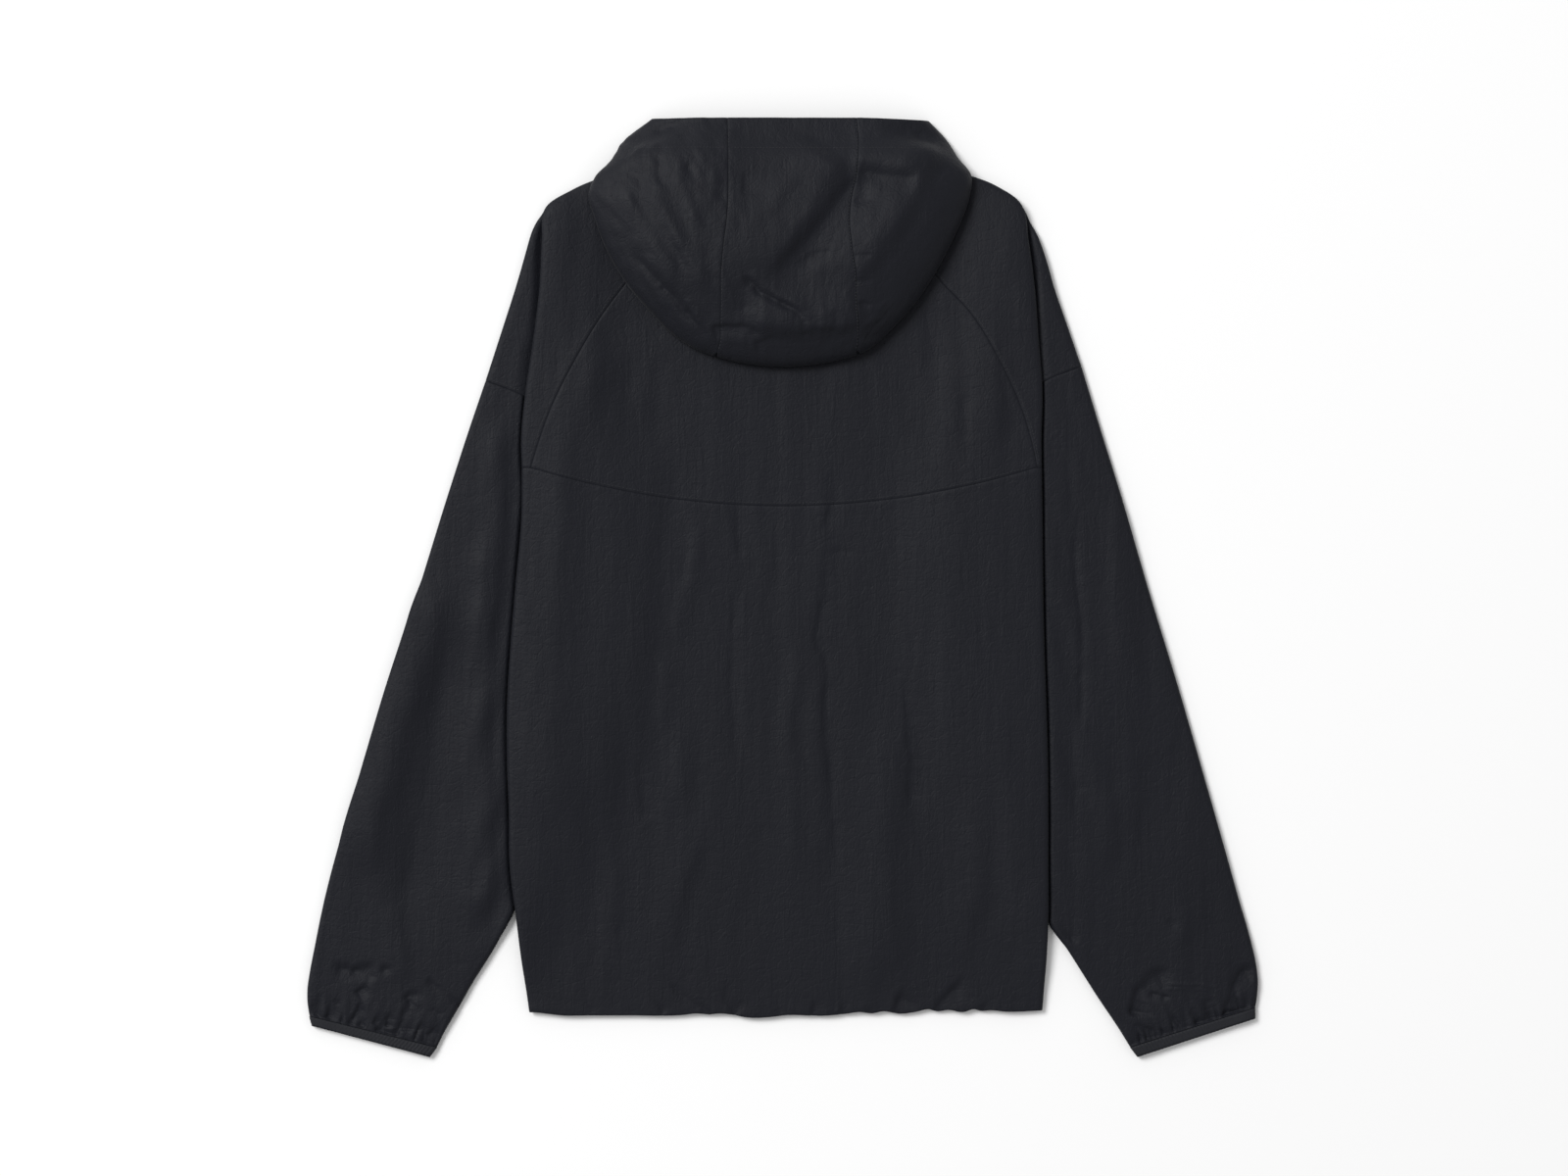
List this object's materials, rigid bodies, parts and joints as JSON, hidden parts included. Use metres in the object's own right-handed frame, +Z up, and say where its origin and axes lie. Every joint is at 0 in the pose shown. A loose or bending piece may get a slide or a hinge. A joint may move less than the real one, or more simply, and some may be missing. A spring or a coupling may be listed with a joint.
{
  "type": "hooded windbreaker jacket",
  "caption": "Hooded zip-front windbreaker jacket in thin dark nylon, with raglan shoulders and elastic cuffs, laid flat on its front with its back up.",
  "frame": {"origin": "middle of the jacket's plan, on the surface that it lies on", "axes": "+Z up out of the jacket's back, +Y towards the hood, -X towards the wearer's left sleeve"},
  "size_m": [0.7998, 0.7896, 0.0378],
  "materials": {
    "shell_cloth": "fine crinkled nylon, low sheen",
    "elastic_binding": "smooth elastic binding, matt",
    "zip_coil": "moulded zip teeth on woven tape",
    "zip_metal": "black enamel, satin"
  },
  "bodies": {
    "jacket": {"back_panel": "shell_cloth", "back_yoke": "shell_cloth", "front_left": "shell_cloth", "front_right": "shell_cloth", "shoulder_left": "shell_cloth", "shoulder_right": "shell_cloth", "sleeve_left": "shell_cloth", "sleeve_right": "shell_cloth", "hood_centre": "shell_cloth", "hood_left": "shell_cloth", "hood_right": "shell_cloth", "chin_left": "shell_cloth", "chin_right": "shell_cloth", "cuff_left": "elastic_binding", "cuff_right": "elastic_binding", "zip_strip": "zip_coil", "zip_slider": "zip_metal"},
    "pull_tab": {"zip_pull": "zip_metal"}
  },
  "joints": [
    {"name": "pull_tab_swing", "type": "hinge", "parent": "jacket", "child": "pull_tab", "pos_m": [0.00069, 0.38271, 0.0017], "axis": [1, 0, 0], "range_deg": [0, 150]}
  ]
}
